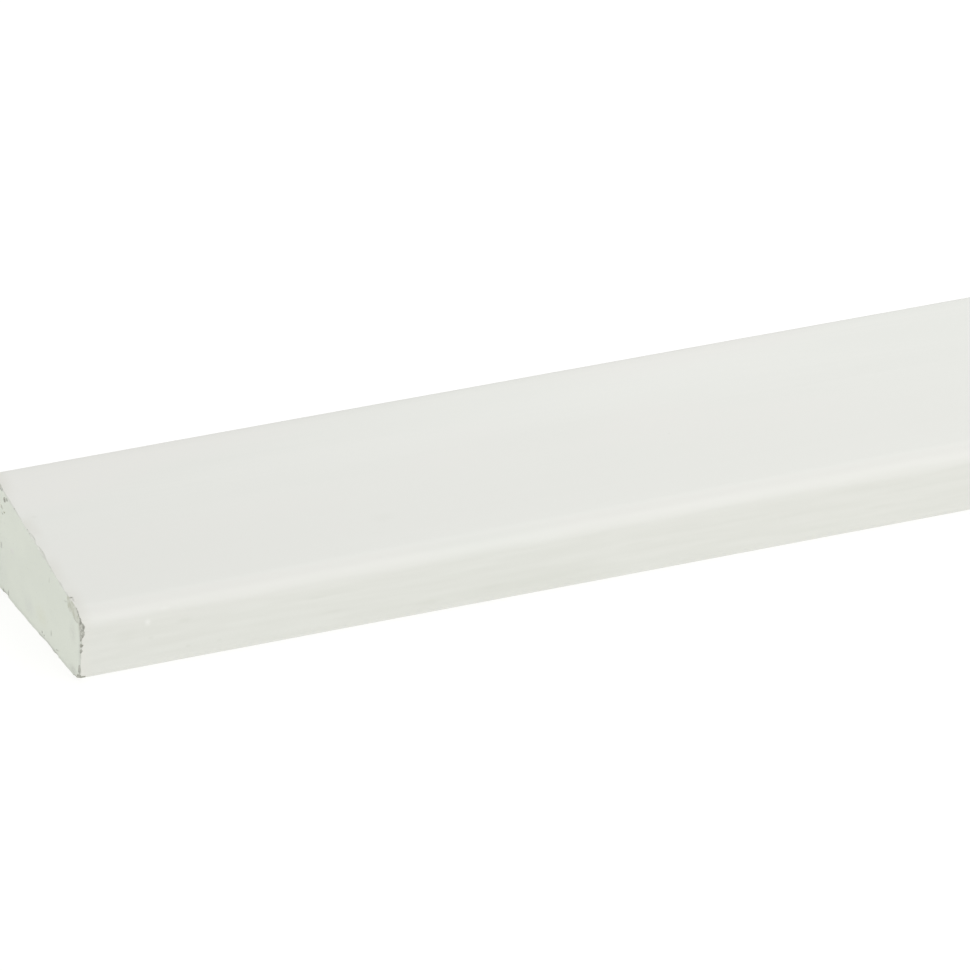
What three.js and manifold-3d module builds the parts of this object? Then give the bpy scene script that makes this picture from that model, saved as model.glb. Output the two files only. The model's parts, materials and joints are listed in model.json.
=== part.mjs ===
// A short length of sloping glazing bead: the strip that holds a pane in the rebate of a window frame.
// Millimetres, +Z up. The bead lies on its seat. X runs along it, its room side faces -Y and its
// glass side faces +Y. The near end, with its chipped edges, is at -X.
import * as THREE from "three";
import { mergeVertices } from "three/addons/utils/BufferGeometryUtils.js";
import Module from "manifold-3d";

// Driving dimensions
const LENGTH = 160;
const SEAT_WIDTH = 34;
const GLASS_SIDE_HEIGHT = 17;
const TOP_SLOPE_DEGREES = 10.8;
const NOSE_RADIUS = 3.4;
const LOWER_ARRIS_RADIUS = 1.8;
const BACK_ARRIS_RADIUS = 0.6;

// Chips knocked out of the near end's edges. Each is a blunt bite, centred on the section's outline:
// at a share of one rounded edge's turn, or of the flat between two rounded edges. It reaches so far
// along the bead, into the end face, and to each side along the outline.
const CHIPS = [
  { edges: ["nose"], share: 0.18, along: 0.28, inward: 1.8, beside: 2.2 },
  { edges: ["nose"], share: 0.86, along: 0.75, inward: 0.38, beside: 1.1 },
  { edges: ["lower"], share: 0.56, along: 0.58, inward: 0.55, beside: 1.25 },
  { edges: ["topBack", "nose"], share: 0.085, along: 0.2, inward: 0.5, beside: 1.3 },
  { edges: ["lower", "seatBack"], share: 0.83, along: 0.25, inward: 0.45, beside: 1.1 },
  { edges: ["lower", "seatBack"], share: 0.34, along: 0.25, inward: 0.2, beside: 2.7 },
];
const CHIP_ROUNDNESS = 1;

// A rounded edge is made of narrow flats.
const FLATS_PER_QUARTER_TURN = 16;

const wasm = await Module();
wasm.setup();

// The section lies in the plane of the way to the glass (first) and the height (second).
// The slope would meet the glass side at a sharp corner, a little above the rounded edge that is there.
const slope = THREE.MathUtils.degToRad(TOP_SLOPE_DEGREES);
const lostToRounding = BACK_ARRIS_RADIUS * (Math.tan(slope) + 1 / Math.cos(slope) - 1);
const backCornerHeight = GLASS_SIDE_HEIGHT + lostToRounding;
const noseCornerHeight = backCornerHeight - SEAT_WIDTH * Math.tan(slope);
const roomSide = -SEAT_WIDTH / 2;
const glassSide = SEAT_WIDTH / 2;

// The section's corners, anticlockwise
const corners = {
  lower: { at: new THREE.Vector2(roomSide, 0), radius: LOWER_ARRIS_RADIUS },
  seatBack: { at: new THREE.Vector2(glassSide, 0), radius: BACK_ARRIS_RADIUS },
  topBack: { at: new THREE.Vector2(glassSide, backCornerHeight), radius: BACK_ARRIS_RADIUS },
  nose: { at: new THREE.Vector2(roomSide, noseCornerHeight), radius: NOSE_RADIUS },
};

// The arc that rounds a corner between its two neighbours
function roundedCorner(before, corner, after) {
  const toBefore = before.at.clone().sub(corner.at).normalize();
  const toAfter = after.at.clone().sub(corner.at).normalize();
  const halfAngle = Math.acos(toBefore.dot(toAfter)) / 2;
  const bisector = toBefore.clone().add(toAfter).normalize();
  const centre = corner.at.clone().addScaledVector(bisector, corner.radius / Math.sin(halfAngle));
  const start = corner.at.clone().addScaledVector(toBefore, corner.radius / Math.tan(halfAngle));
  const startAngle = start.sub(centre).angle();
  const turn = Math.PI - 2 * halfAngle;
  return { centre, radius: corner.radius, startAngle, turn };
}

function roundAll() {
  const names = Object.keys(corners);
  const rounded = {};
  names.forEach((name, index) => {
    const before = corners[names[(index + names.length - 1) % names.length]];
    const after = corners[names[(index + 1) % names.length]];
    rounded[name] = roundedCorner(before, corners[name], after);
  });
  return rounded;
}

const arcs = roundAll();

// A point of an arc, at a share of its turn, and the direction that is square to the surface there
function onArc(arc, share) {
  const angle = arc.startAngle + share * arc.turn;
  const outward = new THREE.Vector2(Math.cos(angle), Math.sin(angle));
  return { at: arc.centre.clone().addScaledVector(outward, arc.radius), outward };
}

// The same for a point of the flat between two arcs
function onFlat(fromArc, toArc, share) {
  const from = onArc(fromArc, 1);
  const to = onArc(toArc, 0);
  return { at: from.at.clone().lerp(to.at, share), outward: from.outward };
}

function sectionShape() {
  const points = [];
  for (const arc of Object.values(arcs)) {
    const flats = Math.ceil(FLATS_PER_QUARTER_TURN * arc.turn / (Math.PI / 2));
    for (let step = 0; step <= flats; step += 1) {
      points.push(onArc(arc, step / flats).at);
    }
  }
  return new THREE.Shape(points);
}

// The planed strip, sawn square at both ends
function planedStrip() {
  const geometry = new THREE.ExtrudeGeometry(sectionShape(), { depth: LENGTH, bevelEnabled: false });
  const alongX = new THREE.Matrix4().makeBasis(
    new THREE.Vector3(0, 1, 0),
    new THREE.Vector3(0, 0, 1),
    new THREE.Vector3(1, 0, 0),
  );
  geometry.applyMatrix4(alongX);
  geometry.translate(-LENGTH / 2, 0, 0);
  return geometry;
}

function chipCutter({ edges, share, along, inward, beside }) {
  const [first, second] = edges.map((name) => arcs[name]);
  const { at, outward } = second ? onFlat(first, second, share) : onArc(first, share);
  const geometry = new THREE.IcosahedronGeometry(1, CHIP_ROUNDNESS);
  const stretchAndTurn = new THREE.Matrix4().makeBasis(
    new THREE.Vector3(along, 0, 0),
    new THREE.Vector3(0, -outward.y, outward.x).multiplyScalar(beside),
    new THREE.Vector3(0, -outward.x, -outward.y).multiplyScalar(inward),
  );
  geometry.applyMatrix4(stretchAndTurn);
  geometry.translate(-LENGTH / 2, at.x, at.y);
  return geometry;
}

function solidOf(geometry) {
  const bare = geometry.clone();
  bare.deleteAttribute("normal");
  bare.deleteAttribute("uv");
  const merged = mergeVertices(bare);
  return new wasm.Manifold(new wasm.Mesh({
    numProp: 3,
    vertProperties: new Float32Array(merged.attributes.position.array),
    triVerts: new Uint32Array(merged.index.array),
  }));
}

function geometryOf(solid) {
  const mesh = solid.getMesh();
  const geometry = new THREE.BufferGeometry();
  geometry.setAttribute("position", new THREE.BufferAttribute(new Float32Array(mesh.vertProperties), 3));
  geometry.setIndex(new THREE.BufferAttribute(new Uint32Array(mesh.triVerts), 1));
  geometry.computeVertexNormals();
  return geometry;
}

function glazingBead() {
  let solid = solidOf(planedStrip());
  for (const chip of CHIPS) {
    solid = solid.subtract(solidOf(chipCutter(chip)));
  }
  const primer = new THREE.MeshStandardMaterial({ color: 0xe6e7e2, roughness: 0.55, metalness: 0 });
  const bead = new THREE.Mesh(geometryOf(solid), primer);
  bead.name = "glazing_bead";
  return bead;
}

const part = new THREE.Group();
part.add(glazingBead());

export default part;
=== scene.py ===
"""A primed timber glazing bead, lying on a pale floor, seen from its chipped near end."""
import json
import math
import random

import bmesh
import bpy
from mathutils import Matrix, Vector

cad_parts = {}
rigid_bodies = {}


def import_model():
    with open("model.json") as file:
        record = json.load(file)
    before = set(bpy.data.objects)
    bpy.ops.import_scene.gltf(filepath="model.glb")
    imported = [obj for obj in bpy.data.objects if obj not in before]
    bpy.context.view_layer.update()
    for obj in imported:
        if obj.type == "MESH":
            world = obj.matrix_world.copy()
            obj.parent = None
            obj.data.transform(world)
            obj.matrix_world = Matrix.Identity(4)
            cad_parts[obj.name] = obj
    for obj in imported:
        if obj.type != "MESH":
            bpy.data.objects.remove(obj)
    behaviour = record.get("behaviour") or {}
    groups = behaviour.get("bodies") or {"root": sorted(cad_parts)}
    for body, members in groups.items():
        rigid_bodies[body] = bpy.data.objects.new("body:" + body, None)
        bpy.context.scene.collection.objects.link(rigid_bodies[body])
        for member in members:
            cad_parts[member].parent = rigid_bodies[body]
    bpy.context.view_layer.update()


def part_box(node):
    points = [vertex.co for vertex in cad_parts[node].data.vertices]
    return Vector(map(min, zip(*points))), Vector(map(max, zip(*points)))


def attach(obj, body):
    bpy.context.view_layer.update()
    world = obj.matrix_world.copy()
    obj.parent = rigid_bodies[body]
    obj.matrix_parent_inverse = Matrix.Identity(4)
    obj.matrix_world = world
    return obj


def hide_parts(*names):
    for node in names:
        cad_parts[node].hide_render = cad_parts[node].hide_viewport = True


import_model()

MM = 0.001
LOW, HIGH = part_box("glazing_bead")
LENGTH = HIGH.x - LOW.x
WIDTH = HIGH.y - LOW.y
GLASS_SIDE_HEIGHT = HIGH.z
NEAR_END, FAR_END = LOW.x, HIGH.x
ROOM_SIDE, GLASS_SIDE = LOW.y, HIGH.y

# The section, as in the solid
SLOPE = math.radians(10.8)
NOSE_RADIUS = 3.4 * MM
LOWER_ARRIS_RADIUS = 1.8 * MM
BACK_ARRIS_RADIUS = 0.6 * MM
BACK_CORNER_HEIGHT = GLASS_SIDE_HEIGHT + BACK_ARRIS_RADIUS * (math.tan(SLOPE) + 1 / math.cos(SLOPE) - 1)
NOSE_CORNER_HEIGHT = BACK_CORNER_HEIGHT - WIDTH * math.tan(SLOPE)
CORNERS = {
    "lower": (Vector((ROOM_SIDE, 0)), LOWER_ARRIS_RADIUS),
    "seat_back": (Vector((GLASS_SIDE, 0)), BACK_ARRIS_RADIUS),
    "top_back": (Vector((GLASS_SIDE, BACK_CORNER_HEIGHT)), BACK_ARRIS_RADIUS),
    "nose": (Vector((ROOM_SIDE, NOSE_CORNER_HEIGHT)), NOSE_RADIUS),
}

# The camera: a long lens, turned to the near end and leaning by a little
CAMERA_AIM = Vector((-9.65, 0.0, 9.86)) * MM
CAMERA_TURN = math.radians(-25.34)
CAMERA_DIP = math.radians(27.82)
CAMERA_LEAN = math.radians(2.0)
CAMERA_DISTANCE = 1414.6 * MM
CAMERA_LENS = 361.5

# The floor glows a little, so that it reads as white. Each soft box has its place, size and power
FLOOR_SIZE = 8.0
FLOOR_GAP = 0.05 * MM
FLOOR_TONE = (0.25, 0.25, 0.25, 1)
FLOOR_GLOW_TONE = (1, 1, 0.985, 1)
FLOOR_GLOW = 0.81
TENT_STRENGTH = 0.72
SOFT_BOX_AIM = Vector((0.05, 0, 0))
SOFT_BOXES = (
    ("overhead_box", (0.37, 0.25, 0.70), 0.6, 1.2),
    ("front_box", (0.44, -0.77, 0.50), 0.85, 3.3),
)

# The finishes, in the order of the bead's material slots
SLOTS = ("primer", "sawn_end", "broken_core", "torn_fibre", "worn_edge", "rubbed_edge")


# Camera, floor and light

def place_camera():
    right = Vector((math.cos(CAMERA_TURN), math.sin(CAMERA_TURN), 0))
    ahead = Vector((
        -math.sin(CAMERA_TURN) * math.cos(CAMERA_DIP),
        math.cos(CAMERA_TURN) * math.cos(CAMERA_DIP),
        -math.sin(CAMERA_DIP),
    ))
    up = right.cross(ahead)
    leaning_right = right * math.cos(CAMERA_LEAN) + up * math.sin(CAMERA_LEAN)
    leaning_up = up * math.cos(CAMERA_LEAN) - right * math.sin(CAMERA_LEAN)
    eye = CAMERA_AIM - ahead * CAMERA_DISTANCE
    lens = bpy.data.cameras.new("studio_camera")
    lens.lens = CAMERA_LENS
    camera = bpy.data.objects.new("studio_camera", lens)
    bpy.context.scene.collection.objects.link(camera)
    turned = Matrix((leaning_right, leaning_up, -ahead)).transposed().to_4x4()
    camera.matrix_world = Matrix.Translation(eye) @ turned
    bpy.context.scene.camera = camera


def lay_floor():
    bpy.ops.object.select_all(action="DESELECT")
    bpy.ops.mesh.primitive_plane_add(size=FLOOR_SIZE, location=(0, 0, -FLOOR_GAP))
    floor = bpy.context.object
    floor.name = "studio_floor"
    paper = bpy.data.materials.new("white_paper")
    paper.use_nodes = True
    shader = paper.node_tree.nodes["Principled BSDF"]
    shader.inputs["Base Color"].default_value = FLOOR_TONE
    shader.inputs["Roughness"].default_value = 1.0
    shader.inputs["Specular IOR Level"].default_value = 0.0
    shader.inputs["Emission Color"].default_value = FLOOR_GLOW_TONE
    shader.inputs["Emission Strength"].default_value = FLOOR_GLOW
    floor.data.materials.append(paper)


def light_studio():
    world = bpy.data.worlds.new("studio_tent")
    world.use_nodes = True
    tent = world.node_tree.nodes["Background"]
    tent.inputs["Color"].default_value = (1, 1, 1, 1)
    tent.inputs["Strength"].default_value = TENT_STRENGTH
    bpy.context.scene.world = world
    for name, place, size, power in SOFT_BOXES:
        box = bpy.data.lights.new(name, "AREA")
        box.shape = "SQUARE"
        box.size = size
        box.energy = power
        lamp = bpy.data.objects.new(name, box)
        lamp.location = place
        towards_bead = SOFT_BOX_AIM - Vector(place)
        lamp.rotation_euler = towards_bead.to_track_quat("-Z", "Y").to_euler()
        bpy.context.scene.collection.objects.link(lamp)
    bpy.context.scene.view_settings.view_transform = "Standard"


# Where things lie on the section's outline

def rounded_corner(before, corner, after):
    """The arc that rounds a corner between its neighbours, anticlockwise."""
    at, radius = corner
    to_before = (before[0] - at).normalized()
    to_after = (after[0] - at).normalized()
    half_angle = to_before.angle(to_after) / 2
    centre = at + (to_before + to_after).normalized() * radius / math.sin(half_angle)
    start = at + to_before * radius / math.tan(half_angle) - centre
    return {
        "centre": centre,
        "radius": radius,
        "start": math.atan2(start.y, start.x),
        "turn": math.pi - 2 * half_angle,
        "reach": radius / math.tan(half_angle),
    }


def round_all():
    names = list(CORNERS)
    arcs = {}
    for index, name in enumerate(names):
        before, after = names[index - 1], names[(index + 1) % len(names)]
        arcs[name] = rounded_corner(CORNERS[before], CORNERS[name], CORNERS[after])
    return arcs


ARCS = round_all()


def on_arc(name, share):
    """A point of a rounded edge and the direction square to the surface there."""
    arc = ARCS[name]
    angle = arc["start"] + share * arc["turn"]
    outward = Vector((math.cos(angle), math.sin(angle)))
    return arc["centre"] + outward * arc["radius"], outward


def on_flat(first, second, share):
    start, outward = on_arc(first, 1)
    end, _ = on_arc(second, 0)
    return start.lerp(end, share), outward


# Hand tools

def take(piece):
    """Makes a piece the only one selected, and the active one."""
    bpy.ops.object.select_all(action="DESELECT")
    piece.select_set(True)
    bpy.context.view_layer.objects.active = piece


def pick_edges(piece, wanted):
    """In edit mode, selects just the edges that a rule accepts."""
    bpy.ops.mesh.select_mode(type="EDGE")
    bpy.ops.mesh.select_all(action="DESELECT")
    shape = bmesh.from_edit_mesh(piece.data)
    for edge in shape.edges:
        edge.select_set(wanted(edge))
    bmesh.update_edit_mesh(piece.data)


def runs_along(edge):
    first, second = (vertex.co for vertex in edge.verts)
    return abs(first.x - second.x) > MM


def roughen(piece, name, kind, grain, height, depth=2):
    """Raises a piece's surface by a cloudy or cracked pattern, and fixes it in the mesh."""
    pattern = bpy.data.textures.new(name, kind)
    pattern.noise_scale = grain
    if kind == "CLOUDS":
        pattern.noise_depth = depth
    relief = piece.modifiers.new(name, "DISPLACE")
    relief.texture = pattern
    relief.texture_coords = "LOCAL"
    relief.mid_level = 0.5
    relief.strength = height
    take(piece)
    bpy.ops.object.modifier_apply(modifier=relief.name)


def give_finishes(piece, finishes, slot):
    for name in SLOTS:
        piece.data.materials.append(finishes[name])
    for face in piece.data.polygons:
        face.material_index = SLOTS.index(slot)


def merge(piece, other, operation="DIFFERENCE"):
    """Takes another shape out of a piece, or adds it. The other's finish stays on its faces."""
    change = piece.modifiers.new(other.name, "BOOLEAN")
    change.object = other
    change.operation = operation
    change.solver = "MANIFOLD"
    change.material_mode = "INDEX"
    take(piece)
    bpy.ops.object.modifier_apply(modifier=change.name)
    bpy.data.objects.remove(other)


# The bead

SAW_WASTE = 3 * MM
TOUCHING = 0.01 * MM
PLANING_GRAIN = 14 * MM
PLANING_HEIGHT = 0.05 * MM
SMOOTHED_BELOW = math.radians(30)
FACETS = {"lower": 12, "seat_back": 5, "top_back": 5, "nose": 24}
CROSS_SPACING = 1.4 * MM
RING_SPACING = 1.4 * MM


def planed_strip(finishes):
    """The moulded strip, a little too long, with its four rounded edges."""
    bpy.ops.object.select_all(action="DESELECT")
    bpy.ops.mesh.primitive_cube_add(size=1)
    strip = bpy.context.object
    strip.name = "primed_bead"
    rough_height = BACK_CORNER_HEIGHT + MM
    bpy.ops.object.mode_set(mode="EDIT")
    bpy.ops.mesh.select_all(action="SELECT")
    bpy.ops.transform.resize(value=(LENGTH + 2 * SAW_WASTE, WIDTH, rough_height))
    bpy.ops.transform.translate(value=(0, 0, rough_height / 2))
    bpy.ops.mesh.bisect(
        plane_co=(0, GLASS_SIDE, BACK_CORNER_HEIGHT),
        plane_no=(0, -math.sin(SLOPE), math.cos(SLOPE)),
        use_fill=True,
        clear_outer=True,
    )
    for name, (at, _) in CORNERS.items():
        pick_edges(strip, lambda edge: runs_along(edge) and all(
            (vertex.co.yz - at).length < TOUCHING for vertex in edge.verts))
        bpy.ops.mesh.bevel(offset=ARCS[name]["reach"], segments=FACETS[name], affect="EDGES")
    lay_grid(strip)
    bpy.ops.object.mode_set(mode="OBJECT")
    give_finishes(strip, finishes, "primer")
    return strip


def lay_grid(strip):
    """Divides the flats across and along, so that they can take a little unevenness."""
    nose_end = on_arc("nose", 0)[0].x
    back_start = on_arc("seat_back", 0)[0].x
    steps = round((back_start - nose_end) / CROSS_SPACING)
    for step in range(1, steps):
        cross = nose_end + (back_start - nose_end) * step / steps
        bpy.ops.mesh.select_all(action="SELECT")
        bpy.ops.mesh.bisect(plane_co=(0, cross, 0), plane_no=(0, 1, 0))
    front_start = on_arc("lower", 0)[0].y
    front_end = on_arc("nose", 1)[0].y
    steps = round((front_end - front_start) / CROSS_SPACING)
    for step in range(1, steps):
        height = front_start + (front_end - front_start) * step / steps
        bpy.ops.mesh.select_all(action="SELECT")
        bpy.ops.mesh.bisect(plane_co=(0, 0, height), plane_no=(0, 0, 1))
    pick_edges(strip, runs_along)
    bpy.ops.mesh.subdivide(number_cuts=round(LENGTH / RING_SPACING))


def rough_block(name, centre, outward, along, size, cells, reliefs, thickness):
    """A block with one rough side: a fine grid is roughened, then drawn out into a block."""
    bpy.ops.object.select_all(action="DESELECT")
    bpy.ops.mesh.primitive_grid_add(x_subdivisions=cells[0], y_subdivisions=cells[1], size=1)
    block = bpy.context.object
    block.name = name
    block.scale = (size[0], size[1], 1)
    bpy.ops.object.transform_apply(location=False, rotation=False, scale=True)
    for index, (kind, grain, height, depth) in enumerate(reliefs):
        roughen(block, f"{name}_relief_{index}", kind, grain, height, depth)
    bpy.ops.object.mode_set(mode="EDIT")
    bpy.ops.mesh.select_all(action="SELECT")
    bpy.ops.mesh.extrude_region_move(TRANSFORM_OT_translate={"value": (0, 0, thickness)})
    bpy.ops.mesh.select_all(action="SELECT")
    bpy.ops.mesh.normals_make_consistent(inside=False)
    bpy.ops.object.mode_set(mode="OBJECT")
    turned = Matrix((along, outward.cross(along), outward)).transposed().to_4x4()
    block.matrix_world = Matrix.Translation(centre) @ turned
    bpy.ops.object.transform_apply(location=True, rotation=True, scale=True)
    return block


# Reliefs are given by their pattern, grain, height and number of finer layers
GRID_CELL = 0.25 * MM
SAW_MARGIN = 2 * MM
SAW_DEPTH = 0.02 * MM
SAW_RELIEFS = (("CLOUDS", 2.4 * MM, 0.05 * MM, 2), ("CLOUDS", 0.5 * MM, 0.03 * MM, 1))
WEAR_REACH = 3 * MM
WEAR_OVERRUN = 2 * MM
WEAR_WAVE_GRAIN = 2.5 * MM
WEAR_GRIT_GRAIN = 0.7 * MM

# A lump's breaks follow its middle reach in grain and its smallest reach in height
LUMP_SUBDIVISIONS = 4
BREAK_GRAIN = 0.6
BREAK_HEIGHT = 0.65
GRIT_GRAIN = 0.1 * MM
GRIT_HEIGHT = 0.3


def saw_square(strip, side, finishes):
    """Saws one end square, and leaves the fine roughness of the cut."""
    name = "near_saw_cut" if side < 0 else "far_saw_cut"
    size = (WIDTH + 2 * SAW_MARGIN, GLASS_SIDE_HEIGHT + 2 * SAW_MARGIN)
    cells = (round(size[0] / GRID_CELL), round(size[1] / GRID_CELL))
    centre = Vector((side * (LENGTH / 2 - SAW_DEPTH), 0, GLASS_SIDE_HEIGHT / 2))
    block = rough_block(
        name, centre, Vector((side, 0, 0)), Vector((0, side, 0)), size, cells,
        SAW_RELIEFS, 2 * SAW_WASTE,
    )
    give_finishes(block, finishes, "sawn_end")
    merge(strip, block)


def wear_edge(strip, finishes, name, start, end, outward, depth, waves, grit, slot):
    """Rubs the near end's edge between two points of the outline into a narrow, uneven flat.
    Its depth and the height of its waves and grit are in millimetres."""
    middle = (start + end) / 2
    run = (end - start).normalized()
    size = ((end - start).length + WEAR_OVERRUN, WEAR_REACH)
    slanting = Vector((-1, outward.x, outward.y)).normalized()
    centre = Vector((NEAR_END, middle.x, middle.y)) - slanting * depth * MM
    block = rough_block(
        name, centre, slanting, Vector((0, run.x, run.y)), size,
        (round(size[0] / GRID_CELL), round(size[1] / GRID_CELL)),
        (("CLOUDS", WEAR_WAVE_GRAIN, waves * MM, 1), ("CLOUDS", WEAR_GRIT_GRAIN, grit * MM, 2)),
        WEAR_REACH,
    )
    give_finishes(block, finishes, slot)
    merge(strip, block)


def wear_edges(strip, finishes):
    """Rubs three edges of the near end: the slope's unevenly, the front's and the seat's lightly."""
    top_start, top_outward = on_arc("nose", 0)
    front_end, front_outward = on_arc("nose", 1)
    seat_start, seat_outward = on_arc("lower", 1)
    top_end, _ = on_flat("top_back", "nose", 0.16)
    front_start, _ = on_arc("lower", 0)
    seat_end, _ = on_arc("seat_back", 0)
    edges = (
        ("slope_edge_wear", top_start, top_end, top_outward, 0.08, 0.42, 0.12, "rubbed_edge"),
        ("front_edge_wear", front_end, front_start, front_outward, 0.1, 0.2, 0.1, "worn_edge"),
        ("seat_edge_wear", seat_start, seat_end, seat_outward, 0.05, 0.2, 0.1, "rubbed_edge"),
    )
    for edge in edges:
        wear_edge(strip, finishes, *edge)


def rough_lump(finishes, name, place, outward, reach, slot):
    """A rough rounded lump. Its reach is along the bead, along the section's outline, and inward,
    in millimetres."""
    bpy.ops.object.select_all(action="DESELECT")
    bpy.ops.mesh.primitive_ico_sphere_add(subdivisions=LUMP_SUBDIVISIONS, radius=1)
    lump = bpy.context.object
    lump.name = name
    lump.scale = Vector(reach) * MM
    turn = math.atan2(outward.y, outward.x) - math.pi / 2
    lump.rotation_euler = (turn, 0, 0)
    lump.location = place
    bpy.ops.object.transform_apply(location=True, rotation=True, scale=True)
    middle_reach = sorted(reach)[1] * MM
    shallowest = min(reach) * MM
    roughen(lump, f"{name}_breaks", "VORONOI", BREAK_GRAIN * middle_reach, BREAK_HEIGHT * shallowest)
    roughen(lump, f"{name}_grit", "CLOUDS", GRIT_GRAIN, GRIT_HEIGHT * shallowest)
    give_finishes(lump, finishes, slot)
    return lump


def knock_chip(strip, finishes, name, end, place, outward, reach, slot):
    """Knocks one rough chip out of a sawn end, centred on a point of its plane."""
    merge(strip, rough_lump(finishes, name, (end, place.x, place.y), outward, reach, slot))


def knock_chips(strip, finishes):
    """The larger chips, as in the solid, and the small ones that the edges show between them."""
    chips = (
        ("nose_flake_back", on_flat("top_back", "nose", 0.965), (0.16, 1.3, 2.0), "torn_fibre"),
        ("nose_flake", on_arc("nose", 0.22), (0.24, 2.0, 1.7), "torn_fibre"),
        ("nose_flake_rim", on_arc("nose", 0.28), (0.3, 1.5, 0.35), "broken_core"),
        ("nose_crack", on_flat("top_back", "nose", 0.946), (0.7, 0.15, 0.14), "broken_core"),
        ("nose_chip_high", on_arc("nose", 0.62), (0.4, 1.0, 0.3), "broken_core"),
        ("nose_chip", on_arc("nose", 0.8), (0.75, 0.95, 0.38), "broken_core"),
        ("nose_chip_low", on_arc("nose", 1.0), (0.66, 0.75, 0.34), "broken_core"),
        ("slope_rub_high", on_flat("top_back", "nose", 0.49), (0.34, 1.2, 0.13), "rubbed_edge"),
        ("slope_rub_low", on_flat("top_back", "nose", 0.6), (0.36, 1.7, 0.15), "rubbed_edge"),
        ("front_rub", on_flat("nose", "lower", 0.25), (0.3, 1.9, 0.1), "worn_edge"),
        ("front_chip_top", on_flat("nose", "lower", 0.14), (0.3, 0.42, 0.2), "broken_core"),
        ("front_chip_middle", on_flat("nose", "lower", 0.31), (0.5, 0.34, 0.28), "broken_core"),
        ("front_chip_low", on_flat("nose", "lower", 0.455), (0.34, 0.34, 0.24), "broken_core"),
        ("front_wedge", on_flat("nose", "lower", 0.97), (0.12, 0.85, 0.75), "broken_core"),
        ("lower_chip", on_arc("lower", 0.56), (0.58, 1.25, 0.55), "broken_core"),
        ("lower_chip_tail", on_arc("lower", 0.5), (1.15, 0.6, 0.4), "broken_core"),
        ("lower_chip_back", on_arc("lower", 0.92), (0.25, 1.2, 0.42), "broken_core"),
        ("seat_chip", on_flat("lower", "seat_back", 0.34), (0.25, 2.7, 0.2), "worn_edge"),
        ("seat_front_chip", on_flat("lower", "seat_back", 0.22), (0.2, 0.8, 0.4), "broken_core"),
        ("seat_back_chip", on_flat("lower", "seat_back", 0.83), (0.25, 1.1, 0.45), "broken_core"),
        ("top_chip", on_flat("top_back", "nose", 0.085), (0.2, 1.3, 0.5), "worn_edge"),
    )
    for name, (place, outward), reach, slot in chips:
        knock_chip(strip, finishes, name, NEAR_END, place, outward, reach, slot)


LIFTED_PAINT_SHARE = 0.962
LIFTED_PAINT_INSET = 0.6 * MM
LIFTED_PAINT_REACH = (0.22, 0.5, 0.09)


def lift_paint(strip, finishes):
    """A sliver of the coat, lifted beside the crack above the nose."""
    place, outward = on_flat("top_back", "nose", LIFTED_PAINT_SHARE)
    start = (NEAR_END + LIFTED_PAINT_INSET, place.x, place.y)
    sliver = rough_lump(finishes, "lifted_paint", start, outward, LIFTED_PAINT_REACH, "primer")
    merge(strip, sliver, "UNION")


# Dents and scratches within the near end: each is given by its place in millimetres from the room
# side and the seat, its tilt in degrees, and its reach into, along and across the end face
END_MARKS = (
    ("edge_spot", 28.8, 15.1, 0, (0.16, 0.45, 0.4), "broken_core"),
    ("edge_spot_rim", 28.0, 15.5, 10, (0.2, 0.4, 0.25), "worn_edge"),
    ("rough_patch_back", 29.9, 13.4, 30, (0.14, 0.45, 0.2), "torn_fibre"),
    ("rough_patch_front", 28.9, 13.0, -20, (0.12, 0.35, 0.18), "torn_fibre"),
    ("rough_patch_low", 29.6, 12.5, 10, (0.12, 0.3, 0.15), "worn_edge"),
    ("grey_dent", 25.7, 8.3, -15, (0.05, 0.75, 0.4), "rubbed_edge"),
    ("upright_dent", 11.8, 10.6, 90, (0.08, 0.5, 0.12), "worn_edge"),
    ("back_dent", 29.9, 7.2, 90, (0.14, 0.5, 0.25), "worn_edge"),
    ("seat_dash_back", 26.95, 0.85, 90, (0.14, 0.5, 0.11), "broken_core"),
    ("seat_spot_back", 29.05, 0.35, 0, (0.14, 0.2, 0.2), "broken_core"),
    ("seat_spot_middle", 14.2, 1.0, 40, (0.1, 0.22, 0.12), "broken_core"),
    ("seat_spot_front", 13.4, 0.85, 0, (0.1, 0.14, 0.12), "broken_core"),
    ("grey_dash", 10.8, 2.5, 90, (0.1, 0.5, 0.12), "worn_edge"),
    ("seat_line", 11.9, 0.3, 90, (0.1, 0.26, 3.6), "worn_edge"),
    ("low_dash", 8.5, 0.95, -15, (0.08, 0.6, 0.1), "worn_edge"),
    ("nose_scratch", 5.5, 10.35, -15, (0.07, 0.8, 0.08), "worn_edge"),
)


def mark_end(strip, finishes):
    """Presses the dents and scratches into the near end's face."""
    for name, across, height, tilt, reach, slot in END_MARKS:
        place = Vector((ROOM_SIDE + across * MM, height * MM))
        upright = math.radians(tilt + 90)
        outward = Vector((math.cos(upright), math.sin(upright)))
        knock_chip(strip, finishes, name, NEAR_END, place, outward, reach, slot)


FLATS = (("lower", "seat_back"), ("seat_back", "top_back"), ("top_back", "nose"), ("nose", "lower"))
NICKS_PER_FLAT = {"near": (7, 3, 6, 3), "far": (4, 3, 4, 2)}
NICK_SHARES = (0.04, 0.96)
NICK_REACHES = ((0.08, 0.2), (0.1, 0.4), (0.06, 0.16))
NICK_SEED = 7


def nick_edges(strip, finishes):
    """Small seeded nicks along the sawn edges of both ends."""
    for end_name, end in (("near", NEAR_END), ("far", FAR_END)):
        for flat, count in zip(FLATS, NICKS_PER_FLAT[end_name]):
            for index in range(count):
                place, outward = on_flat(*flat, random.uniform(*NICK_SHARES))
                reach = [random.uniform(*span) for span in NICK_REACHES]
                name = f"{end_name}_{flat[0]}_nick_{index}"
                knock_chip(strip, finishes, name, end, place, outward, reach, "worn_edge")


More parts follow.
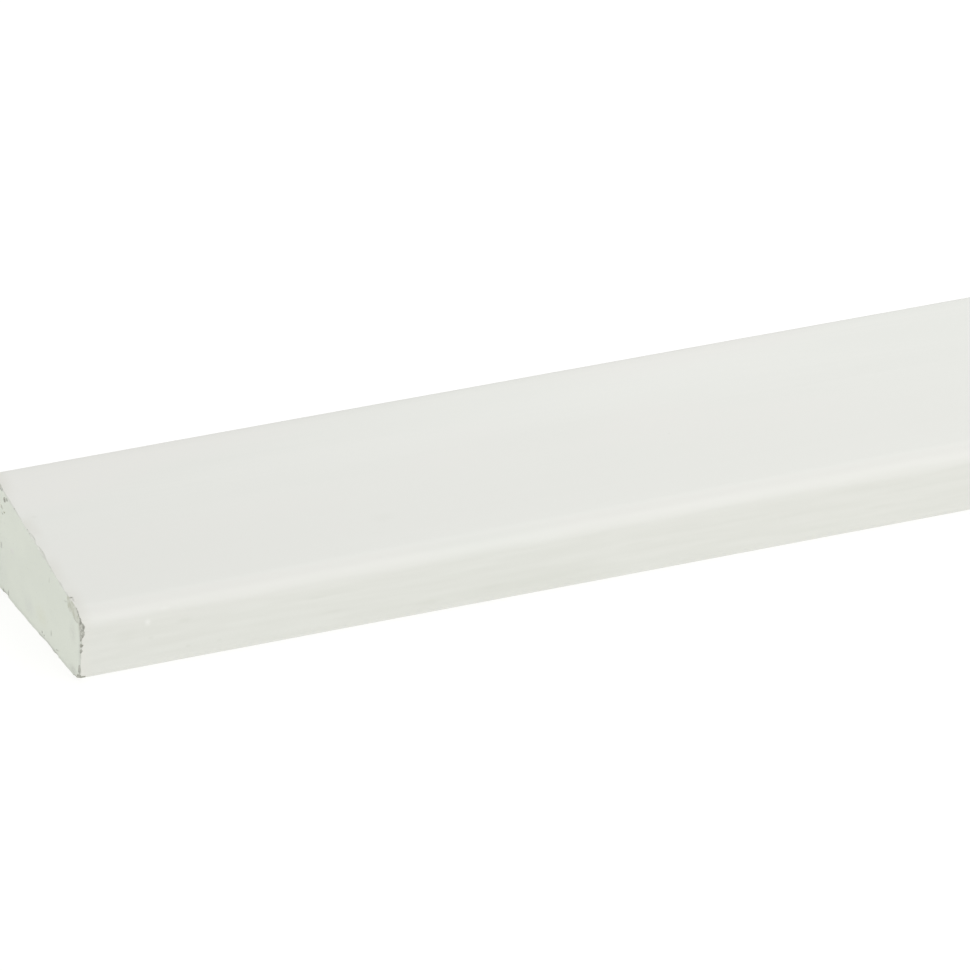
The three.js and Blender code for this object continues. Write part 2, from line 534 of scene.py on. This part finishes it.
def drop_crumbs(strip):
    """Deletes the tiny loose crumbs that the cuts can leave beside the bead."""
    bpy.ops.object.mode_set(mode="EDIT")
    bpy.ops.mesh.select_mode(type="VERT")
    bpy.ops.mesh.select_all(action="DESELECT")
    shape = bmesh.from_edit_mesh(strip.data)
    in_the_middle = min(shape.verts, key=lambda vertex: abs(vertex.co.x))
    in_the_middle.select_set(True)
    bmesh.update_edit_mesh(strip.data)
    bpy.ops.mesh.select_linked()
    bpy.ops.mesh.select_all(action="INVERT")
    bpy.ops.mesh.delete(type="VERT")
    bpy.ops.object.mode_set(mode="OBJECT")


def primed_bead(finishes):
    strip = planed_strip(finishes)
    roughen(strip, "planing_unevenness", "CLOUDS", PLANING_GRAIN, PLANING_HEIGHT)
    for side in (-1, 1):
        saw_square(strip, side, finishes)
    wear_edges(strip, finishes)
    knock_chips(strip, finishes)
    lift_paint(strip, finishes)
    mark_end(strip, finishes)
    nick_edges(strip, finishes)
    take(strip)
    drop_crumbs(strip)
    bpy.ops.object.shade_smooth_by_angle(angle=SMOOTHED_BELOW)
    return strip


# Finishes

class Finish:
    """A procedural paint or wood finish, put together from patterns on the piece's own place."""

    def __init__(self, name, roughness):
        self.material = bpy.data.materials.new(name)
        self.material.use_nodes = True
        self.tree = self.material.node_tree
        self.shader = self.tree.nodes["Principled BSDF"]
        self.shader.inputs["Roughness"].default_value = roughness
        self.place = self.tree.nodes.new("ShaderNodeTexCoord").outputs["Object"]

    def add(self, kind, **inputs):
        node = self.tree.nodes.new(kind)
        for name, value in inputs.items():
            self.feed(node.inputs[name.replace("_", " ")], value)
        return node

    def feed(self, socket, value):
        if isinstance(value, bpy.types.NodeSocket):
            self.tree.links.new(value, socket)
        else:
            socket.default_value = value

    def clouds(self, grain, detail=2.0, turn=(0, 0, 0)):
        """Soft patches. grain is their size along X, Y and Z, in millimetres."""
        spread = [1 / (size * MM) for size in grain]
        stretched = self.add("ShaderNodeMapping", Vector=self.place, Scale=spread, Rotation=turn)
        noise = self.add("ShaderNodeTexNoise", Vector=stretched.outputs[0], Scale=1.0, Detail=detail)
        return noise.outputs["Fac"]

    def dots(self, grain, radius):
        """Sparse round specks: 1 in their middle, 0 outside them. Sizes are in millimetres."""
        cells = self.add("ShaderNodeTexVoronoi", Vector=self.place, Scale=1 / (grain * MM))
        return self.between(cells.outputs["Distance"], radius / grain, 0)

    def spot(self, place, reach):
        """One soft spot: 1 in its middle, 0 past its reach. Both are in millimetres."""
        away = self.add("ShaderNodeVectorMath")
        away.operation = "SUBTRACT"
        self.feed(away.inputs[0], self.place)
        self.feed(away.inputs[1], Vector(place) * MM)
        scaled = self.add("ShaderNodeVectorMath")
        scaled.operation = "DIVIDE"
        self.feed(scaled.inputs[0], away.outputs["Vector"])
        self.feed(scaled.inputs[1], Vector(reach) * MM)
        distance = self.add("ShaderNodeVectorMath")
        distance.operation = "LENGTH"
        self.feed(distance.inputs[0], scaled.outputs["Vector"])
        return self.between(distance.outputs["Value"], 1, 0)

    def between(self, value, zero_at, one_at):
        """A share that rises smoothly from 0, where the value is zero_at, to 1, where it is one_at."""
        node = self.add("ShaderNodeMapRange", Value=value, From_Min=zero_at, From_Max=one_at)
        node.interpolation_type = "SMOOTHSTEP"
        return node.outputs["Result"]

    def reckon(self, operation, first, second):
        node = self.tree.nodes.new("ShaderNodeMath")
        node.operation = operation
        self.feed(node.inputs[0], first)
        self.feed(node.inputs[1], second)
        return node.outputs[0]

    def plus(self, first, second):
        return self.reckon("ADD", first, second)

    def minus(self, first, second):
        return self.reckon("SUBTRACT", first, second)

    def times(self, first, second):
        return self.reckon("MULTIPLY", first, second)

    def blend(self, share, first, second):
        """The first colour where the share is 0, the second where it is 1."""
        node = self.tree.nodes.new("ShaderNodeMix")
        node.data_type = "RGBA"
        self.feed(node.inputs["Factor"], share)
        for socket, colour in (("A_Color", first), ("B_Color", second)):
            found = next(item for item in node.inputs if item.identifier == socket)
            self.feed(found, colour if isinstance(colour, bpy.types.NodeSocket) else (*colour, 1))
        return next(item for item in node.outputs if item.identifier == "Result_Color")

    def depth_below(self, normal, point):
        """How deep a place lies under a plane, in millimetres."""
        node = self.add("ShaderNodeVectorMath")
        node.operation = "DOT_PRODUCT"
        self.feed(node.inputs[0], self.place)
        self.feed(node.inputs[1], normal)
        height = Vector(normal).dot(Vector(point))
        return self.times(self.minus(height, node.outputs["Value"]), 1 / MM)

    def finish(self, colour, relief, relief_height):
        bump = self.add("ShaderNodeBump", Height=relief, Distance=relief_height * MM)
        self.feed(self.shader.inputs["Normal"], bump.outputs["Normal"])
        self.feed(self.shader.inputs["Base Color"], colour)
        return self.material


# Tones, roughness and relief of the primer. The height of a relief is in millimetres
PRIMER_SHADE = (0.755, 0.764, 0.724)
PRIMER_LIGHT = (0.770, 0.777, 0.738)
PRIMER_WARM = (0.771, 0.770, 0.734)
# The next two tones are painted shade: the front face and the slope's room side are coloured darker with
# them, where the lamps give less light.
FRONT_PAINTED_SHADE = (0.667, 0.674, 0.626)
SLOPE_PAINTED_SHADE = (0.754, 0.759, 0.720)
SOILED_TONE = (0.70, 0.695, 0.645)
SMUDGE_TONE = (0.63, 0.64, 0.585)
# A painted light tone, for the pale patches
PAINTED_LIGHT_TONE = (0.82, 0.825, 0.79)
SPECK_TONE = (0.68, 0.69, 0.64)
PRIMER_ROUGHNESS = 0.28
STREAK_ROUGHNESS = 0.16
PRIMER_RELIEF = 0.008

# Faint marks in the coat, and pale patches of painted light: their places along the bead, across it and up,
# their reach along the same three directions, all in millimetres, and their strength
SMUDGES = (
    ((-29.4, -7.9, 12.2), (2.8, 1.5, 1.0), 0.12),
    ((-77.9, 5.7, 14.8), (0.7, 0.5, 0.6), 0.35),
    ((-73.0, -17.0, 6.2), (2.4, 0.8, 1.7), 0.3),
    ((-69.2, -17.0, 5.2), (0.7, 0.6, 0.4), 0.4),
    ((-64.0, -17.0, 7.0), (1.6, 0.6, 0.6), 0.5),
    ((-63.4, -17.0, 2.7), (0.6, 0.6, 0.3), 0.6),
    ((-58.6, -17.0, 2.7), (0.6, 0.6, 0.45), 0.4),
    ((-43.5, -17.0, 6.6), (2.0, 0.6, 0.3), 0.4),
    ((-41.0, -17.0, 3.9), (3.2, 0.6, 0.4), 0.35),
    ((-26.0, -17.0, 2.4), (3.2, 0.6, 0.7), 0.5),
    ((-16.0, -17.0, 3.0), (3.0, 0.6, 0.45), 0.3),
    ((-8.0, -17.0, 2.6), (20.0, 0.6, 3.0), 0.42),
    ((7.0, -17.0, 5.6), (4.0, 0.6, 0.4), 0.3),
    ((46.0, -17.0, 4.2), (3.4, 0.6, 0.4), 0.3),
)
# Painted light: a lighter stretch over the slope's back, and two pale glints on the nose's highlight by the
# near end.
PAINTED_LIGHT_PATCHES = (
    ((15.0, 11.0, 15.5), (70.0, 9.0, 6.0), 0.3),
    ((-69.7, -17.0, 7.8), (0.7, 0.6, 0.8), 0.6),
    ((-67.0, -16.5, 9.3), (1.2, 0.4, 0.35), 0.3),
)


def primer_finish():
    """Sprayed primer on planed timber: nearly even, with faint streaks along the grain and a few specks."""
    paint = Finish("satin_primer", PRIMER_ROUGHNESS)
    streaks = paint.clouds((50, 0.7, 0.7), 3)
    swathes = paint.clouds((60, 7, 7), 1)
    warmth = paint.clouds((45, 14, 14), 1)
    peel = paint.clouds((0.35, 0.35, 0.35), 1)
    uneven = paint.plus(paint.times(streaks, 0.5), swathes)
    colour = paint.blend(paint.between(uneven, 0.6, 0.95), PRIMER_SHADE, PRIMER_LIGHT)
    colour = paint.blend(paint.between(warmth, 0.42, 0.62), colour, PRIMER_WARM)
    colour = paint_side_shade(paint, colour)
    colour = mark_primer(paint, colour)
    specks = paint.times(paint.dots(9, 0.2), paint.between(warmth, 0.5, 0.6))
    colour = paint.blend(specks, colour, SPECK_TONE)
    roughness = paint.plus(PRIMER_ROUGHNESS, paint.times(streaks, STREAK_ROUGHNESS))
    paint.feed(paint.shader.inputs["Roughness"], roughness)
    relief = paint.plus(streaks, paint.times(peel, 0.5))
    return paint.finish(colour, relief, PRIMER_RELIEF)


def paint_side_shade(paint, colour):
    """Painted shade: the front face is coloured a shade darker, in streaks, and so, faintly, is the slope's
    room side, where the lamps give less light.
    """
    streaks = paint.clouds((12, 1.2, 1.0), 1)
    from_room_side = paint.depth_below((0, -1, 0), (0, ROOM_SIDE, 0))
    below_nose = paint.between(paint.depth_below((0, 0, 1), (0, 0, NOSE_CORNER_HEIGHT)), -0.5, 3.2)
    # Painted shade on the front face, broken by streaks
    on_front = paint.times(below_nose, paint.between(from_room_side, 2.5, 0.9))
    front_shade_share = paint.times(paint.between(streaks, -0.9, 1.2), on_front)
    colour = paint.blend(front_shade_share, colour, FRONT_PAINTED_SHADE)
    # Faint painted shade on the slope's room side, beside the nose
    room_half = paint.between(from_room_side, 26, 8)
    slope_shade_share = paint.times(room_half, paint.between(from_room_side, 0.8, 3))
    return paint.blend(slope_shade_share, colour, SLOPE_PAINTED_SHADE)


def mark_primer(paint, colour):
    """Soils the coat beside the near end's edge, lays the smudges over it, and paints light in pale
    patches: a lighter stretch of the slope's back and two glints on the nose.
    """
    soiled = paint.between(paint.clouds((7, 7, 7), 1), 0.3, 0.6)
    near_edge = paint.between(paint.depth_below((-1, 0, 0), (NEAR_END, 0, 0)), 2.6, 0)
    soiling = paint.times(paint.times(soiled, near_edge), 0.8)
    colour = paint.blend(soiling, colour, SOILED_TONE)
    # The smudges, then the painted light of the pale patches
    for marks, tone in ((SMUDGES, SMUDGE_TONE), (PAINTED_LIGHT_PATCHES, PAINTED_LIGHT_TONE)):
        for place, reach, strength in marks:
            mark = paint.times(paint.spot(place, reach), strength)
            colour = paint.blend(mark, colour, tone)
    return colour


# Tones and relief of the sawn ends
SEALED_ROUGHNESS = 0.75
SAW_LINE_TILT = math.radians(12)
SAWN_RELIEF = 0.03
SEALED_SHADE = (0.745, 0.778, 0.696)
SEALED_LIGHT = (0.766, 0.800, 0.714)
FINE_GRAIN_TONE = (0.67, 0.70, 0.64)
PORE_TONE = (0.60, 0.62, 0.56)
# Painted shade for the rim along the end's front and seat edges
RIM_PAINTED_SHADE = (0.68, 0.71, 0.64)

# Stains and scuffs of the near end, and painted shade along its seat: where each lies across the bead
# and up, its reach along the same two directions, and its tone
STAIN_DEPTH = 3
END_STAINS_AND_SHADE = (
    ((-2.5, 3.4), (3.4, 2.4), (0.738, 0.765, 0.655)),
    ((15.5, 3.5), (6.5, 5.0), (0.69, 0.727, 0.66)),
    ((2.3, 2.6), (3.0, 2.2), (0.712, 0.738, 0.674)),
    ((-14.1, 6.7), (1.8, 2.4), (0.69, 0.715, 0.645)),
    # The next three are painted shade: darker along the seat, where the end meets the floor.
    ((-5.6, 0.1), (5.0, 0.8), (0.52, 0.54, 0.49)),
    ((11.2, 0.2), (2.6, 0.8), (0.52, 0.54, 0.49)),
    ((-14.6, 0.6), (2.2, 1.5), (0.60, 0.62, 0.56)),
    ((-16.7, 8.8), (0.9, 2.4), (0.60, 0.62, 0.51)),
)


def sawn_end_finish():
    """The sawn ends, sealed thinly: pale green-grey, patchy, with saw lines and pores. Painted shade
    makes them a little darker along the front and the seat."""
    wood = Finish("sealed_sawn_end", SEALED_ROUGHNESS)
    patches = wood.clouds((6, 9, 6), 2)
    fine = wood.clouds((0.5, 0.5, 0.5), 3)
    saw_lines = wood.clouds((1, 0.35, 9), 2, (SAW_LINE_TILT, 0, 0))
    colour = wood.blend(wood.between(patches, 0.35, 0.65), SEALED_SHADE, SEALED_LIGHT)
    # The stains, and the painted shade along the seat
    for place, reach, tone in END_STAINS_AND_SHADE:
        spot = wood.spot((NEAR_END / MM, *place), (STAIN_DEPTH, *reach))
        colour = wood.blend(wood.times(spot, wood.between(fine, 0.2, 0.6)), colour, tone)
    colour = wood.blend(wood.between(fine, 0.62, 0.8), colour, FINE_GRAIN_TONE)
    pores = wood.times(wood.dots(1.1, 0.12), wood.between(patches, 0.6, 0.4))
    colour = wood.blend(pores, colour, PORE_TONE)
    # Painted shade: a ragged darker rim along the front and the seat
    from_room_side = wood.depth_below((0, -1, 0), (0, ROOM_SIDE, 0))
    above_seat = wood.depth_below((0, 0, -1), (0, 0, 0))
    from_edge = wood.reckon("MINIMUM", from_room_side, above_seat)
    ragged_rim_shade = wood.minus(from_edge, wood.times(fine, 0.9))
    colour = wood.blend(wood.between(ragged_rim_shade, 0.45, -0.35), colour, RIM_PAINTED_SHADE)
    relief = wood.plus(saw_lines, wood.minus(fine, pores))
    return wood.finish(colour, relief, SAWN_RELIEF)


# Bare broken or rubbed places: their dark, middle and pale tones, and the size of their lumps
BROKEN_ROUGHNESS = 0.9
BROKEN_RELIEF = 0.06
BROKEN_FINISHES = {
    "broken_core": ((0.40, 0.405, 0.36), (0.52, 0.525, 0.47), (0.66, 0.67, 0.61), 0.3),
    "torn_fibre": ((0.58, 0.60, 0.495), (0.70, 0.715, 0.635), (0.81, 0.82, 0.755), 0.9),
    "worn_edge": ((0.60, 0.62, 0.565), (0.655, 0.675, 0.615), (0.73, 0.75, 0.69), 0.6),
    "rubbed_edge": ((0.73, 0.745, 0.685), (0.77, 0.785, 0.725), (0.80, 0.81, 0.76), 0.8),
}


def broken_finish(name, dark, middle, pale, grain):
    """Bare broken wood and paint: a mix of three tones in splinters, and rough."""
    wood = Finish(name, BROKEN_ROUGHNESS)
    lumps = wood.clouds((grain, grain, grain), 3)
    splinters = wood.clouds((0.1, 0.12, 0.5), 2)
    colour = wood.blend(wood.between(lumps, 0.35, 0.55), dark, middle)
    colour = wood.blend(wood.between(splinters, 0.55, 0.75), colour, pale)
    return wood.finish(colour, wood.plus(lumps, splinters), BROKEN_RELIEF)


def make_finishes():
    finishes = {"primer": primer_finish(), "sawn_end": sawn_end_finish()}
    for name, (dark, middle, pale, grain) in BROKEN_FINISHES.items():
        finishes[name] = broken_finish(name, dark, middle, pale, grain)
    return finishes


random.seed(NICK_SEED)
place_camera()
lay_floor()
light_studio()
bead = primed_bead(make_finishes())
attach(bead, "root")
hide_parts("glazing_bead")
